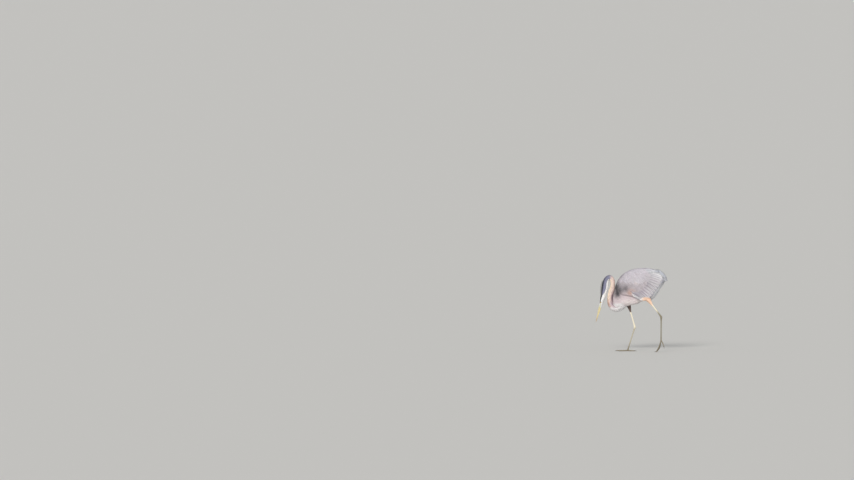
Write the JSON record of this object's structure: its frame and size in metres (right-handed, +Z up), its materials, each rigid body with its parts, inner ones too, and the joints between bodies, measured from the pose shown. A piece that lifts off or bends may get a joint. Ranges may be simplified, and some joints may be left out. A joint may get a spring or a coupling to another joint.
{
  "type": "great blue heron, stooping to fish",
  "caption": "Life-size still model of a long-legged wading bird in mid step: folded blue-grey wings, rusty thighs, neck coiled in a tight S, dagger bill pointing down at the ground ahead",
  "frame": {"origin": "on the floor, under the middle of the bird's length and breadth", "axes": "the bird looks towards -X, its left side is towards -Y, and +Z is up; the floor it stands on is z = 0"},
  "size_m": [0.6362, 0.1916, 0.7036],
  "materials": {
    "plumage_body": "soft overlapping feathers, blue-grey",
    "plumage_neck": "fine feathers, pinkish grey-buff",
    "plumage_head": "very short feathers, white with a black stripe over the eye",
    "horn_bill": "smooth horn, yellowish tan",
    "eye": "wet, clear-fronted, yellow iris",
    "plumes": "long narrow black feathers",
    "plumage_wing": "large overlapping feathers, slate grey",
    "plumage_tail": "broad pale blue-grey feathers",
    "plumage_thigh": "short rusty feathers",
    "leg_skin": "scaly skin, grey-olive with paler shanks",
    "claw": "dark horn"
  },
  "bodies": {
    "root": {"trunk": "plumage_body", "neck_lower": "plumage_neck", "neck_middle": "plumage_neck", "neck_upper": "plumage_neck", "head": "plumage_head", "bill_upper": "horn_bill", "bill_lower": "horn_bill", "eye_left": "eye", "eye_right": "eye", "plume_left": "plumes", "plume_right": "plumes", "wing_left": "plumage_wing", "wing_right": "plumage_wing", "tail": "plumage_tail", "thigh_left": "plumage_thigh", "thigh_right": "plumage_thigh", "shank_left": "leg_skin", "shank_right": "leg_skin", "tarsus_left": "leg_skin", "tarsus_right": "leg_skin", "foot_left": "leg_skin", "foot_right": "leg_skin", "toe_inner_left": "leg_skin", "toe_middle_left": "leg_skin", "toe_outer_left": "leg_skin", "toe_hind_left": "leg_skin", "toe_inner_right": "leg_skin", "toe_middle_right": "leg_skin", "toe_outer_right": "leg_skin", "toe_hind_right": "leg_skin", "claw_inner_left": "claw", "claw_middle_left": "claw", "claw_outer_left": "claw", "claw_hind_left": "claw", "claw_inner_right": "claw", "claw_middle_right": "claw", "claw_outer_right": "claw", "claw_hind_right": "claw"}
  },
  "joints": []
}
